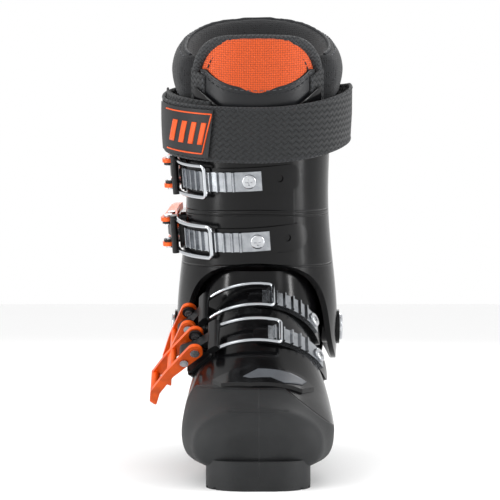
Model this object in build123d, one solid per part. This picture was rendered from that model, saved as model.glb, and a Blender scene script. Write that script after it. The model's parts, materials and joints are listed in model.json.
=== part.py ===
"""Alpine ski boot for the right foot: moulded lower shell and hinged cuff, four buckles, liner and strap.

Row frame, in millimetres: +Z up from the sole plane, -Y towards the toe, -X to the outer (lateral) side
where the buckle levers are. The origin is the boot-centre mark of the sole.
"""
from build123d import *
import os
from math import acos, atan2, cos, degrees, pi, radians, sin

# ---------------------------------------------------------------- driving dimensions
SOLE_LENGTH = 306.0      # toe tip to heel, as printed on the heel of a mondo 26.5 boot
SHELL_WIDTH = 104.0      # outside width at the ball of the foot
BOOT_HEIGHT = 345.0      # sole to the liner's highest point, behind the calf
SHELL_WALL = 4.6         # polyurethane wall of the lower shell
CUFF_WALL = 3.6          # wall of the cuff
CUFF_LEAN = 12.0         # forward lean of the cuff, degrees
CUFF_RADIUS = 53.0       # outside radius of the cuff's round front at the buckles
CUFF_DEPTH = 145.0       # front to back of the cuff
PAD = 2.0                # the strip under a ladder stands this proud

TOE_LUG_WIDTH = 69.0     # width of the toe lug, set by the binding
HEEL_LUG_WIDTH = 68.0
TOE_LUG_HEIGHT = 19.0    # sole to the top of the toe lip, set by the binding
HEEL_LUG_HEIGHT = 30.0   # sole to the top of the heel lip
SOLE_PAD = 9.0           # thickness of the replaceable toe and heel soles
TOE_PAD_LENGTH = 78.0
HEEL_PAD_LENGTH = 66.0

PIVOT_HEIGHT = 98.0      # cuff hinge above the sole
PIVOT_BACK = 62.0        # cuff hinge behind the boot centre
PIVOT_RADIUS = 5.0
RUNNING = 0.05           # radial clearance of a pin that turns
FIT = 0.02               # radial clearance of a pin that is riveted fast

BAIL_WIRE = 1.5          # radius of the buckle wire
BAIL_HALF = 11.5         # half the distance between the two wires of a bail
LADDER_HALF = 7.0        # half the width of a ladder
LADDER_BASE = 1.8
TOOTH_HEIGHT = 1.8
TOOTH_PITCH = 6.4
TOOTH_THICK = 1.7
LEVER_LENGTH = 56.0
LEVER_OPEN = 120.0       # degrees a lever swings
INSTEP_OPEN = 95.0       # degrees the instep lever swings, short of the lower cuff buckle's bail
PIN_RADIUS = 2.0
LEVER_RISE = 10.5        # lever pivot above its seat
BARREL_ARM = 12.0        # lever pivot to the bail's barrel pin
SCREW_RADIUS = 2.4
HEAD_RADIUS = 5.2

STRAP_WIDTH = 40.0
STRAP_THICK = 2.4
LINER_THICK = 7.0        # foam of the liner
LINER_SOLE = 4.0
GAP = 0.6                # between the liner and the shells

HALF = SOLE_LENGTH / 2
TOE_Y = -HALF
HEEL_Y = HALF
WIDE = SHELL_WIDTH / 2
RISE = BOOT_HEIGHT / 345.0           # stretches heights that follow the size of the leg
LONG = SOLE_LENGTH / 306.0           # stretches places along the foot


# ---------------------------------------------------------------- helpers
def power(value, exponent):
    return (abs(value) ** exponent) * (1 if value >= 0 else -1)


def ring(low, high, half_width, widest=0.45, low_power=2.0, high_power=2.0, shift=0.0, count=16):
    """Closed wire round the plane that holds X and the line from low to high, both (y, z) points."""
    dy, dz = high[0] - low[0], high[1] - low[1]
    points = []
    for i in range(count):
        turn = 2 * pi * i / count
        side, rise = cos(turn), sin(turn)
        exponent = 2 / (high_power if rise >= 0 else low_power)
        reach = (1 - widest) if rise >= 0 else widest
        along = widest + power(rise, exponent) * reach
        points.append((shift + half_width * power(side, exponent), low[0] + dy * along, low[1] + dz * along))
    steps = [i / count for i in range(count + 1)]
    return Wire([Edge.make_spline(points, periodic=True, parameters=steps)])


def side_prism(points, half=150.0):
    """Solid of a closed (y, z) outline, as wide as the boot and more."""
    outline = Polyline(*[(0, y, z) for y, z in points], close=True)
    return extrude(make_face(outline), amount=half, dir=(1, 0, 0), both=True)


def one(shape):
    """The largest solid of a boolean's result, without the crumbs."""
    return max(shape.solids(), key=lambda s: s.volume)


def rod(radius, start, end):
    """Round bar between two points."""
    start, end = Vector(*start), Vector(*end)
    axis = end - start
    return Solid.make_cylinder(radius, axis.length, Plane(origin=start, z_dir=axis))


# ---------------------------------------------------------------- lower shell
def toe_stations(wall, floor_wall):
    """Upright stations from the toe back under the shaft: (y, low, high, half width, widest, powers)."""
    tip, full = TOE_Y + 4.0 + wall * 1.3, TOE_Y + 27.0 + wall
    low_full, high_full, half_full = SOLE_PAD + floor_wall, 54.0 - wall, 0.85 * WIDE - wall
    middle = low_full + (high_full - low_full) * 0.42
    found = []
    for t in (0.04, 0.17, 0.38, 0.66, 1.0):
        share = (1 - (1 - t) ** 2) ** 0.5
        low = middle - (middle - low_full) * share ** 0.8
        high = middle + (high_full - middle) * share
        found.append((tip + (full - tip) * t, low, high, half_full * share ** 0.9, 0.42, 2.6, 2.2))
    for y, high, half, widest, low_power in (
            (-104, 62, 0.965, 0.42, 3.0),
            (-78, 75, 1.0, 0.40, 3.2),
            (-50, 95.5, 0.975, 0.36, 3.2),
            (-24, 116, 0.915, 0.36, 3.0),
            (0, 130, 0.87, 0.38, 2.8),
            (24, 128, 0.83, 0.42, 2.8),
            (48, 104, 0.74, 0.45, 2.6)):
        found.append((y * LONG, low_full, high - wall * 1.15, half * WIDE - wall, widest, low_power, 2.05))
    return found


def heel_stations(wall, floor_wall):
    """Level stations up the heel and the ankle: (z, front, back, half width)."""
    found = []
    for z, front, back, half in (
            (9, 16, 143, 0.70),
            (30, 10, 150, 0.78),
            (60, 6, 151, 0.90),
            (90, 0, 147, 0.99),
            (120, -5, 138, 0.99),
            (146, -1, 127, 0.93),
            (172, 3, 120, 0.90)):
        if z == 9:
            z += floor_wall
        found.append((z, front * LONG + wall, back * LONG - wall, half * WIDE - wall))
    return found


def foot_form(wall=0.0, floor_wall=0.0, top=160.0, cut=0.0):
    """The boot-shaped solid, or what is left of it inside a wall, cut flat higher than its floor if asked."""
    toe = [ring((y, low), (y, high), half, widest, lp, hp)
           for y, low, high, half, widest, lp, hp in toe_stations(wall, floor_wall)]
    heel = [ring((front, z), (back, z), half, 0.55, 2.15, 2.2)
            for z, front, back, half in heel_stations(wall, floor_wall)]
    form = Solid.make_loft(toe) + Solid.make_loft(heel)
    floor = SOLE_PAD + max(floor_wall, cut)
    return one(form & (Pos(0, 0, (floor + top) / 2) * Box(300, 500, top - floor)))


def lug(width, front, back, low, high, round_front, round_back):
    """A sole block between two places along Y, its ends rounded in plan."""
    plate = extrude(Pos(0, (front + back) / 2, low) * Rectangle(width, back - front), amount=high - low)
    front_edges = plate.edges().filter_by(Axis.Z).group_by(Axis.Y)[0]
    plate = fillet(front_edges, round_front)
    back_edges = plate.edges().filter_by(Axis.Z).group_by(Axis.Y)[-1]
    return fillet(back_edges, round_back)


def toe_lug(low, high, inset=0.0):
    return lug(TOE_LUG_WIDTH - 2 * inset, TOE_Y + inset, TOE_Y + TOE_PAD_LENGTH, low, high, 27.0, 3.0)


def heel_lug(low, high, inset=0.0):
    return lug(HEEL_LUG_WIDTH - 2 * inset, HEEL_Y - HEEL_PAD_LENGTH, HEEL_Y - inset, low, high, 3.0, 26.0)


# ---------------------------------------------------------------- cuff, in its own leaning frame
PIVOT = Vector(0, PIVOT_BACK * LONG, PIVOT_HEIGHT)
CUFF_PLANE = Plane(origin=PIVOT, x_dir=(1, 0, 0), z_dir=(0, -sin(radians(CUFF_LEAN)), cos(radians(CUFF_LEAN))))

UPPER_BAND = 123.0 * RISE            # heights along the leaning cuff
LOWER_BAND = 79.0 * RISE
STRAP_BAND = 156.0 * RISE
CUFF_TOP = 216.0 * RISE


def cuff_stations():
    """(height along the cuff, half width, front, back) in the leaning frame."""
    front = -60.0 * LONG
    back = front + CUFF_DEPTH * LONG
    flare = SHELL_WIDTH / 104.0
    return [
        (-46, 57 * flare, front + 3, back + 2),
        (-20, 60 * flare, front - 1, back + 4),
        (10, 60.5 * flare, front - 3, back + 6),
        (42, 58 * flare, front - 2, back + 5),
        (LOWER_BAND, CUFF_RADIUS + 1, front - 0.5, back + 2),
        (UPPER_BAND, CUFF_RADIUS, front, back),
        (STRAP_BAND, CUFF_RADIUS + 0.5, front - 1.0, back + 1),
        (CUFF_TOP, CUFF_RADIUS + 2.0, front - 5.0, back + 4),
    ]


def cuff_loft(wall=0.0, extra=0.0):
    """The cuff's outer form, moved in by wall; extra makes it longer at both ends."""
    wires = []
    stations = cuff_stations()
    for i, (height, half, front, back) in enumerate(stations):
        if i == 0:
            height -= extra
        if i == len(stations) - 1:
            height += extra
        front, back, half = front + wall, back - wall, half - wall
        widest = 1 - half / (back - front)
        flat = ring((back, 0), (front, 0), half, widest, 2.15, 2.0)
        wires.append(CUFF_PLANE.location * (Pos(0, 0, height) * flat))
    return Solid.make_loft(wires)


def at_cuff(v, h):
    """(y, z) in the row frame of a place v back and h up in the leaning frame."""
    p = CUFF_PLANE.from_local_coords(Vector(0, v, h))
    return p.Y, p.Z


def cuff_radius(height):
    """Radius and centre of the cuff's round front at a height."""
    stations = cuff_stations()
    for (h0, r0, f0, _), (h1, r1, f1, _) in zip(stations, stations[1:]):
        if h0 <= height <= h1:
            t = (height - h0) / (h1 - h0)
            return r0 + (r1 - r0) * t, f0 + (f1 - f0) * t
    raise ValueError(height)


# ---------------------------------------------------------------- buckle bands
class Band:
    """A round stretch of shell that a buckle pulls across.

    The plane's Z is the buckle's hinge direction. A place on the band is an angle from the middle of the
    front, positive to the inner side of the foot, and a radius from the centre.
    """

    def __init__(self, name, plane, radius, lever_at, wire_end, ladder, screw_at, spare_at, body):
        self.name, self.plane, self.radius = name, plane, radius
        self.lever_at, self.wire_end = lever_at, wire_end
        self.ladder, self.screw_at, self.spare_at, self.body = ladder, screw_at, spare_at, body
        # frame of the lever's pivot: X towards the ladder, Y outward, Z along the hinge
        turn = radians(lever_at)
        outward = Vector(sin(turn), -cos(turn), 0)
        ahead = Vector(cos(turn), sin(turn), 0)
        at = outward * (radius + LEVER_RISE)
        local = Plane(origin=at, x_dir=ahead, z_dir=ahead.cross(outward))
        self.base = plane.location * local.location

    def polar(self, angle, radius, height=0.0):
        return Vector(radius * sin(radians(angle)), -radius * cos(radians(angle)), height)

    def place(self, shape):
        return self.plane.location * shape

    def on_base(self, shape):
        return self.base * shape


def sector(r0, r1, a0, a1, half):
    """Curved slab between two radii and two band angles, as wide as twice half."""
    outer = CenterArc((0, 0), r1, a0 - 90, a1 - a0)
    inner = CenterArc((0, 0), r0, a1 - 90, a0 - a1)
    sides = [Line(outer @ 1, inner @ 0), Line(inner @ 1, outer @ 0)]
    return extrude(make_face([outer, inner] + sides), amount=half, both=True)


def cuff_band(name, height, slant, lever_at, wire_end, ladder, screw_at, spare_at):
    radius, front = cuff_radius(height)
    plane = Plane(CUFF_PLANE.location * (Pos(0, front + radius, height) * Rot(0, -slant, 0)))
    return Band(name, plane, radius + PAD, lever_at, wire_end, ladder, screw_at, spare_at, "cuff")


INSTEP_SLOPE = 39.0


def instep_band(name, y, z, radius, lever_at, wire_end, ladder, screw_at):
    """A band over the instep, whose middle is the ridge point (y, z)."""
    slope = radians(INSTEP_SLOPE)
    inward = Vector(0, sin(slope), -cos(slope))
    origin = Vector(0, y * LONG, z) + inward * radius
    plane = Plane(origin=origin, x_dir=(1, 0, 0), z_dir=(0, cos(slope), sin(slope)))
    return Band(name, plane, radius, lever_at, wire_end, ladder, screw_at, None, "lower_shell")


CUFF_SLANT = 4.0
BANDS = [
    cuff_band("upper_cuff", UPPER_BAND, CUFF_SLANT, -98, -40, (-74, 3), -6, 17),
    cuff_band("lower_cuff", LOWER_BAND, CUFF_SLANT, -95, -34, (-68, 9), 0, 23),
    instep_band("instep", -19, 121.5, WIDE - 6.0, -62, 13, (4, 66), 58),
    instep_band("toe", -51, 97.6, WIDE - 1.3, -46, 17, (8, 62), 55),
]


# ---------------------------------------------------------------- buckle pieces, in the lever pivot's frame
ARM_IN, ARM_OUT = 8.0, 11.0          # a lever arm, measured from the middle plane
CHEEK_IN, CHEEK_OUT = 6.0, 7.7       # a cheek of the base
EAR = 5.6                            # radius of the lever's round ears
SEAT = -LEVER_RISE


def pair(inner, outer, outline):
    """Two mirrored plates of one outline, between two distances from the middle plane."""
    plate = extrude(Pos(0, 0, inner) * outline, amount=outer - inner)
    return plate + mirror(plate, Plane.XY)


def hull_plate(circles):
    """Face round a chain of (x, y, radius) circles."""
    faces = [Pos(x, y) * Circle(r) for x, y, r in circles]
    shape = faces[0]
    for (x0, y0, r0), (x1, y1, r1) in zip(circles, circles[1:]):
        span = Vector(x1 - x0, y1 - y0)
        base = atan2(span.Y, span.X)
        lean = acos((r0 - r1) / span.length)
        tips = []
        for x, y, r, side in ((x0, y0, r0, 1), (x0, y0, r0, -1), (x1, y1, r1, -1), (x1, y1, r1, 1)):
            a = base + side * lean
            tips.append((x + r * cos(a), y + r * sin(a)))
        shape += make_face(Polyline(*tips, close=True))
    for face in faces:
        shape += face
    return shape


def base_plate():
    plate = Pos(-5, SEAT + 1.0, 0) * Box(24, 2.0, 2 * 13.0)
    plate = fillet(plate.edges().filter_by(Axis.Y), 4.0)
    cheeks = pair(CHEEK_IN, CHEEK_OUT, hull_plate([(0, 0, 4.6), (-1, SEAT + 4.2, 4.0)]))
    cheeks += pair(CHEEK_IN, CHEEK_OUT, Pos(-1, SEAT + 2.0) * Rectangle(14, 3.0))
    body = plate + cheeks
    body -= Cylinder(PIN_RADIUS + FIT, 40)
    for x in BASE_RIVETS:
        body -= Pos(x, SEAT, 0) * Rot(90, 0, 0) * Cylinder(PIN_RADIUS + FIT, 12)
    return body


BASE_RIVETS = (-13.5, 3.6)


def base_rivets():
    """Two rivets through the base and the shell wall under it."""
    found = []
    for x in BASE_RIVETS:
        head = rod(3.2, (x, SEAT + 2.0, 0), (x, SEAT + 3.1, 0))
        shank = rod(PIN_RADIUS, (x, SEAT + 2.0, 0), (x, SEAT - 3.2, 0))
        found.append(head + shank)
    return found


def pivot_rivets():
    """Two stub rivets that hinge the lever's arms on the cheeks, leaving the middle free."""
    found = []
    for side in (1, -1):
        shank = rod(PIN_RADIUS, (0, 0, side * (CHEEK_IN - 0.1)), (0, 0, side * (ARM_OUT + 0.35)))
        head = rod(3.3, (0, 0, side * (ARM_OUT + 0.35)), (0, 0, side * (ARM_OUT + 1.5)))
        tail = rod(3.0, (0, 0, side * (CHEEK_IN - 0.8)), (0, 0, side * (CHEEK_IN - 0.1)))
        found.append(shank + head + tail)
    return found


def trim_corners(x0, x1, half, radius):
    """Block over a stretch along X whose far corners are rounded as seen from above."""
    block = Pos((x0 + x1) / 2, 0, 0) * Box(x1 - x0, 60, 2 * half)
    return fillet(block.edges().filter_by(Axis.Y).group_by(Axis.X)[0], radius)


def lever(curl):
    """Forked lever: two eared arms, and a loop for the fingers whose end is curled in towards the shell."""
    tip = -LEVER_LENGTH
    loop, end_y = 2.3 - curl * 0.62, 1.4 - curl
    chain = [(0, 0, EAR), (-BARREL_ARM, -0.6, 4.6), (-28, 0.8 - curl * 0.18, 3.4),
             (tip + 9, loop, 3.2), (tip, end_y, 2.6)]
    arms = pair(ARM_IN, ARM_OUT, hull_plate(chain))
    grip = hull_plate([(tip + 8, loop, 3.1), (tip, end_y, 2.6)])
    end = extrude(grip, amount=ARM_OUT, both=True)
    waist = extrude(hull_plate([(-22, 0.4, 2.2), (-27, 0.8 - curl * 0.16, 2.2)]), amount=ARM_OUT, both=True)
    body = arms + end + waist
    body = body & trim_corners(tip - 2.6, 30, ARM_OUT, 4.0)
    body -= Cylinder(PIN_RADIUS + RUNNING, 60)
    body -= Pos(-BARREL_ARM, -1, 0) * Cylinder(PIN_RADIUS + FIT, 60)
    return body


def bail_pin():
    pin = Pos(-BARREL_ARM, -1, 0) * Cylinder(PIN_RADIUS, 2 * ARM_OUT + 0.6)
    for side in (1, -1):
        reach = side * (ARM_OUT + 0.3)
        pin += rod(3.0, (-BARREL_ARM, -1, reach), (-BARREL_ARM, -1, reach + side * 1.1))
    return pin


YOKE_X, YOKE_Y = 12.5, -5.6          # the carrier's cross block, which holds the two wires


def carrier():
    """Barrel on the bail pin, a tongue under the lever, and a cross block that holds the wires."""
    spine = [(-BARREL_ARM, -1, 3.5), (0, -3.9, 2.1), (YOKE_X, YOKE_Y, 2.3)]
    tongue = extrude(hull_plate(spine), amount=4.6, both=True)
    yoke = hull_plate([(YOKE_X - 1.2, YOKE_Y + 0.2, 2.6), (YOKE_X + 2.2, YOKE_Y - 0.4, 2.6)])
    block = extrude(yoke, amount=BAIL_HALF + 2.6, both=True)
    return tongue + block - Pos(-BARREL_ARM, -1, 0) * Cylinder(PIN_RADIUS + RUNNING, 60)


LADDER_SEAT = 0.04                   # the ladder lies this far off its strip
WIRE_LIFT = 0.7                      # the crossbar's clearance over the ladder's floor
HOOK_PLAY = 1.3                      # the crossbar's play behind its tooth


def bail_wire(band, grow=0.0):
    """Wire loop: two arcs out of the carrier's block, and a crossbar that hooks behind a tooth."""
    radius = band.radius + LADDER_SEAT + LADDER_BASE + WIRE_LIFT + BAIL_WIRE
    start = band.lever_at + degrees(atan2(YOKE_X - 1.0, band.radius + LEVER_RISE + YOKE_Y))
    bend = 4.0
    stop = band.wire_end - degrees(bend / radius)
    circle = Pos(radius, 0, 0) * Rot(90, 0, 0) * Circle(BAIL_WIRE + grow)
    arcs = []
    for side in (1, -1):
        arc = revolve(Pos(0, 0, side * BAIL_HALF) * circle, Axis.Z, stop - start)
        arcs.append(Rot(0, 0, start - 90) * arc)
    turn = radians(stop)
    ahead = Vector(cos(turn), sin(turn), 0)
    root = band.polar(stop, radius)
    up = Vector(0, 0, BAIL_HALF)
    corners = [root + up, root + up + ahead * bend, root - up + ahead * bend, root - up]
    path = FilletPolyline(*corners, radius=3.0)
    end = sweep(Plane(origin=path @ 0, z_dir=path % 0) * Circle(BAIL_WIRE + grow), path=path)
    return arcs[0] + arcs[1] + end


def ladder(band):
    """Toothed rack on the round of the shell, with the hole for its screw."""
    low, high = band.ladder
    floor = band.radius + LADDER_SEAT
    top = floor + LADDER_BASE
    rack = sector(floor, top, low, high, LADDER_HALF)
    pitch = degrees(TOOTH_PITCH / top)
    hooked = band.wire_end - degrees((BAIL_WIRE + HOOK_PLAY) / top)
    first = hooked - int((hooked - low - 2.0) / pitch) * pitch
    last = min(high - 2.0, band.screw_at - degrees((HEAD_RADIUS + 1.2) / top))
    profile = Polyline((-TOOTH_THICK - 0.6, -0.3), (0, -0.3), (0, TOOTH_HEIGHT), (-1.0, TOOTH_HEIGHT),
                       close=True)
    tooth = extrude(make_face(profile), amount=LADDER_HALF, both=True)
    at = first
    while at < last:
        rack += Pos(band.polar(at, top)) * Rot(0, 0, at) * mirror(tooth, Plane.XZ)
        at += pitch
    hole = Pos(band.polar(band.screw_at, band.radius)) * Rot(0, 0, band.screw_at) * Rot(90, 0, 0)
    return rack - hole * Cylinder(SCREW_RADIUS + FIT, 30)


def ladder_screw(band):
    """Pan head screw with a cross recess, through the ladder into the shell."""
    r = band.radius + LADDER_SEAT + LADDER_BASE
    at = band.screw_at
    head = Pos(0, 0, 1.1) * Cylinder(HEAD_RADIUS, 2.2)
    head = fillet(head.edges().group_by(Axis.Z)[-1], 1.4)
    screw = head + Pos(0, 0, -3.0) * Cylinder(SCREW_RADIUS, 6.0)
    screw -= Pos(0, 0, 2.2) * Box(5.0, 1.1, 2.4)
    screw -= Pos(0, 0, 2.2) * Box(1.1, 5.0, 2.4)
    return Pos(band.polar(at, r)) * Rot(0, 0, at) * Rot(90, 0, 0) * screw


def radial_hole(band, at, radius, depth):
    """Round cutter along a radius of the band, from outside to a depth under its surface."""
    drill = Pos(0, 0, 5 - depth / 2) * Cylinder(radius, 10 + depth)
    return band.place(Pos(band.polar(at, band.radius)) * Rot(0, 0, at) * Rot(90, 0, 0) * drill)


def strip(band, low, high, deep):
    """Raised strip the ladder lies on: a curved slab with a round end."""
    half = LADDER_HALF + 2.5
    slab = sector(band.radius - deep, band.radius, low, high, half)
    for at in (low, high):
        knob = Pos(0, 0, -deep / 2 + 2) * Cylinder(half, deep + 4)
        slab += Pos(band.polar(at, band.radius)) * Rot(0, 0, at) * Rot(90, 0, 0) * knob
    return band.place(slab & Cylinder(band.radius, 60))


def seat(band, deep):
    """Flat boss under the buckle's base plate."""
    boss = Pos(-5, SEAT - deep / 2, 0) * Box(27, deep, 29)
    return band.on_base(fillet(boss.edges().filter_by(Axis.Y), 5.0))


def seat_clearance(band):
    """Cutter that keeps the shell below the seat's plane."""
    return band.on_base(Pos(-5, SEAT + 5, 0) * Box(28, 10, 30))


def rivet_holes(band):
    holes = [Pos(x, SEAT, 0) * Rot(90, 0, 0) * Cylinder(PIN_RADIUS + FIT, 6.8) for x in BASE_RIVETS]
    return [band.on_base(hole) for hole in holes]


# ---------------------------------------------------------------- the boot's big pieces
def above(front_z, back_z, high=500.0):
    """Everything over a sloping plane given by its heights at the toe side and the heel side."""
    y0, y1 = -60.0, 140.0
    slope = (back_z - front_z) / (y1 - y0)
    ya, yb = -400.0, 400.0
    return side_prism([(ya, front_z + (ya - y0) * slope), (yb, front_z + (yb - y0) * slope),
                       (yb, high), (ya, high)])


SHELL_TOP = (137.0, 149.0)           # height of the lower shell's rim, front and back
BOARD = 4.0                          # thickness of the boot board
FLOOR = 11.0                         # lower shell's floor above the sole pads


def make_lower_shell(outer, cavity):
    added = [toe_lug(SOLE_PAD, TOE_LUG_HEIGHT), heel_lug(SOLE_PAD, HEEL_LUG_HEIGHT)]
    for side in (1, -1):
        added.append(rod(12.0, (side * 40, PIVOT.Y, PIVOT.Z), (side * (PIVOT_FACE - 0.3), PIVOT.Y, PIVOT.Z)))
    cut = [cavity, above(*SHELL_TOP), rod(PIVOT_RADIUS + FIT, (-90, PIVOT.Y, PIVOT.Z), (90, PIVOT.Y, PIVOT.Z))]
    for band in BANDS:
        if band.body == "lower_shell":
            added += [strip(band, band.ladder[0] - 1, band.ladder[1] + 6, 12.0), seat(band, 12.0)]
            cut.append(radial_hole(band, band.screw_at, SCREW_RADIUS + FIT, 4.6))
            cut += rivet_holes(band) + [seat_clearance(band)]
    for x, y in SOLE_SCREWS:
        cut.append(Pos(x, y, SOLE_PAD) * Cylinder(SCREW_RADIUS + FIT, 2 * 7.4))
    return one(outer + added - cut)


PIVOT_FACE = 56.6 * SHELL_WIDTH / 104.0          # inside face of the cuff at the hinge
PIVOT_OUT = PIVOT_FACE + 5.6                     # outside face of the cuff at the hinge

SOLE_SCREWS = [(x, y) for y in (TOE_Y + 30, TOE_Y + 62, HEEL_Y - 24, HEEL_Y - 54) for x in (-19, 19)]


CUFF_EDGE = (-34.0, 247.0 * RISE, 0.367)         # a point (y, z) of the cuff's top edge, and its slope to the rear


def cuff_outline():
    """Side view of the cuff: a high back, a low front and a lobe down to each hinge."""
    y, z, slope = CUFF_EDGE
    top = Line((0, -110, z + (-110 - y) * slope), (0, 190, z + (190 - y) * slope))
    low = Spline((0, 190, 98), (0, 146, 93), (0, 104, 82), (0, 64, 74), (0, 40, 86), (0, 27, 109),
                 (0, 13, 131), (0, -10, 146), (0, -40, 151), (0, -110, 154))
    ends = [Line(top @ 1, low @ 0), Line(low @ 1, top @ 0)]
    return extrude(make_face([top, low] + ends), amount=150, dir=(1, 0, 0), both=True)


def make_cuff():
    added = []
    cut = [cuff_loft(CUFF_WALL, 6),
           rod(PIVOT_RADIUS + RUNNING, (-90, PIVOT.Y, PIVOT.Z), (90, PIVOT.Y, PIVOT.Z))]
    for side in (1, -1):
        added.append(rod(13.0, (side * 50, PIVOT.Y, PIVOT.Z), (side * PIVOT_OUT, PIVOT.Y, PIVOT.Z)))
        cut.append(rod(14.5, (0, PIVOT.Y, PIVOT.Z), (side * PIVOT_FACE, PIVOT.Y, PIVOT.Z)))
    for x, v, h in STRAP_RIVETS:
        cut.append(CUFF_PLANE.location * Pos(x, v, h) * Rot(90, 0, 0) * Cylinder(PIN_RADIUS + FIT, 30))
    for band in BANDS:
        if band.body == "cuff":
            added += [strip(band, band.ladder[0] - 1, band.spare_at + 8, 8.0), seat(band, 10.0)]
            cut.append(radial_hole(band, band.screw_at, SCREW_RADIUS + FIT, 4.6))
            cut.append(radial_hole(band, band.spare_at, SCREW_RADIUS + 0.2, 3.5))
            cut += rivet_holes(band) + [seat_clearance(band)]
    return one((cuff_loft() + added - cut) & cuff_outline())


def pivot_rivet(side):
    """Step rivet of the cuff hinge: fast in the lower shell, a running fit in the cuff."""
    shank = rod(PIVOT_RADIUS, (side * (PIVOT_FACE - 8.0), PIVOT.Y, PIVOT.Z),
                (side * (PIVOT_OUT + 0.3), PIVOT.Y, PIVOT.Z))
    head = Cylinder(10.0, 2.2)
    head = fillet(head.edges().group_by(Axis.Z)[-1], 1.2)
    head -= Pos(0, 0, 1.1) * extrude(RegularPolygon(3.0, 6), amount=0.9, both=True)
    plane = Plane(origin=(side * (PIVOT_OUT + 0.3 + 1.1), PIVOT.Y, PIVOT.Z), z_dir=(side, 0, 0))
    return shank + plane.location * head


# ---------------------------------------------------------------- soles
def sole_pad(plate, screws, ribs):
    """Replaceable sole: a plate with a worn-in tread of cross grooves and counterbored screw holes."""
    cut = [Pos(0, y, 0) * Box(120, 2.4, 3.0) for y in ribs]
    for x, y in screws:
        cut.append(Pos(x, y, 0) * Cylinder(SCREW_RADIUS + FIT, 40))
        cut.append(Pos(x, y, 2.4) * Cylinder(4.8, 4.8))
    return plate - cut


def sole_screw(x, y):
    head = Pos(x, y, 3.4) * Cylinder(4.4, 2.8) - Pos(x, y, 1.6) * extrude(RegularPolygon(2.0, 6), amount=1.8)
    return head + Pos(x, y, 10.4) * Cylinder(SCREW_RADIUS, 11.4)


# ---------------------------------------------------------------- liner, tongue and strap
STRAP_CLEAR = 2.6                    # the back of the strap clear of the cuff's nominal back
STRAP_LEAN = 3.0                     # how much further back its upper edge is than its lower one
STRAP_RIVETS = [(-14, 88, STRAP_BAND), (14, 88, STRAP_BAND)]
TONGUE_V = -31.0                     # the liner's cut edge beside the tongue, in the cuff's frame
TONGUE_TOP = 305.0 * RISE


def behind(v, far=300.0):
    """Half space behind a place along the cuff's depth."""
    return CUFF_PLANE.location * (Pos(0, v + far, 100) * Box(400, 2 * far, 900))


def collar_ring(rise, half, front, back, power_back=2.15):
    """Section parallel to the cuff's sloping edge, rise above it."""
    y0, z0, k = CUFF_EDGE
    s, c = sin(radians(CUFF_LEAN)), cos(radians(CUFF_LEAN))
    ends = []
    for v in (back, front):
        h = (z0 - PIVOT.Z + (PIVOT.Y - y0) * k + rise + v * (c * k - s)) / (c + s * k)
        ends.append(at_cuff(v, h))
    widest = 1 - half / (back - front) * 1.02
    return ring(ends[0], ends[1], half, widest, power_back, 2.05)


def liner_skin():
    return CUFF_WALL + GAP


def make_liner_shaft():
    """Padded tube inside the cuff, open at the front for the tongue, with a fat collar over the cuff's edge."""
    flare = SHELL_WIDTH / 104.0
    f, b = -60.0 * LONG, (-60.0 + CUFF_DEPTH) * LONG
    outer = Solid.make_loft([
        collar_ring(1.2, 51 * flare, f + 3, b - 1), collar_ring(7, 59 * flare, f - 2, b + 5),
        collar_ring(20, 63 * flare, f - 5, b + 8), collar_ring(32, 62 * flare, f - 6, b + 7),
        collar_ring(41, 56 * flare, f - 2, b + 2)])
    inner = Solid.make_loft([
        collar_ring(-8, 41.8 * flare, f + 12, b - 11), collar_ring(10, 42 * flare, f + 12, b - 11),
        collar_ring(28, 45 * flare, f + 9, b - 8), collar_ring(44, 51 * flare, f + 4, b - 3)])
    lower = cuff_loft(liner_skin(), 2) & above(151, 157, 270) - above(250.0 * RISE, 321.0 * RISE)
    lower -= cuff_loft(liner_skin() + LINER_THICK, 12)
    return one((lower + (outer - inner)) & behind(TONGUE_V + 0.6))


def make_tongue():
    """Padded shield in front of the shin, standing proud of the cuff's low front."""
    slab = cuff_loft(liner_skin(), 25) - cuff_loft(liner_skin() + LINER_THICK + 1, 30)
    slab -= behind(TONGUE_V)
    top = Pos(0, -40, (TONGUE_TOP + 155) / 2) * Box(88, 160, TONGUE_TOP - 155)
    top = fillet(top.edges().filter_by(Axis.Y).group_by(Axis.Z)[-1], 20)
    return one(slab & top)


def strap_loft(out, extra=0.0):
    """Solid round the cuff as big as the inside of the strap, plus out all round."""
    half = CUFF_RADIUS + 14.5
    f, b = -62.4 * LONG - out, (-60 + CUFF_DEPTH) * LONG + STRAP_CLEAR + out
    wires = []
    for h, flare in ((-STRAP_WIDTH / 2 - extra, 0.0), (0, 1.0), (STRAP_WIDTH / 2 + extra, 1.0)):
        lean = STRAP_LEAN * h / STRAP_WIDTH
        flat = ring((b + lean, 0), (f, 0), half + out + flare, 0.52, 2.25, 2.2)
        wires.append(CUFF_PLANE.location * (Pos(0, 0, STRAP_BAND + h) * flat))
    return Solid.make_loft(wires)


def make_strap():
    body = strap_loft(STRAP_THICK) - strap_loft(0, 4)
    holes = [CUFF_PLANE.location * Pos(x, v, h) * Rot(90, 0, 0) * Cylinder(PIN_RADIUS + FIT, 30)
             for x, v, h in STRAP_RIVETS]
    return one(body - holes)


def make_strap_label():
    """Moulded badge on the outer front of the strap, with one end cut at a slant."""
    skin = strap_loft(STRAP_THICK + 1.5, -2.5) - strap_loft(STRAP_THICK + 0.05, 4)
    shape = Polyline((-90, -40), (-38, -40), (-29, 40), (-90, 40), close=True)
    block = CUFF_PLANE.location * (Pos(0, 0, STRAP_BAND) * Rot(90, 0, 0) * extrude(make_face(shape), amount=120))
    return one(skin & block & (CUFF_PLANE.location * (Pos(0, -54, STRAP_BAND) * Box(300, 90, 60))))


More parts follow.
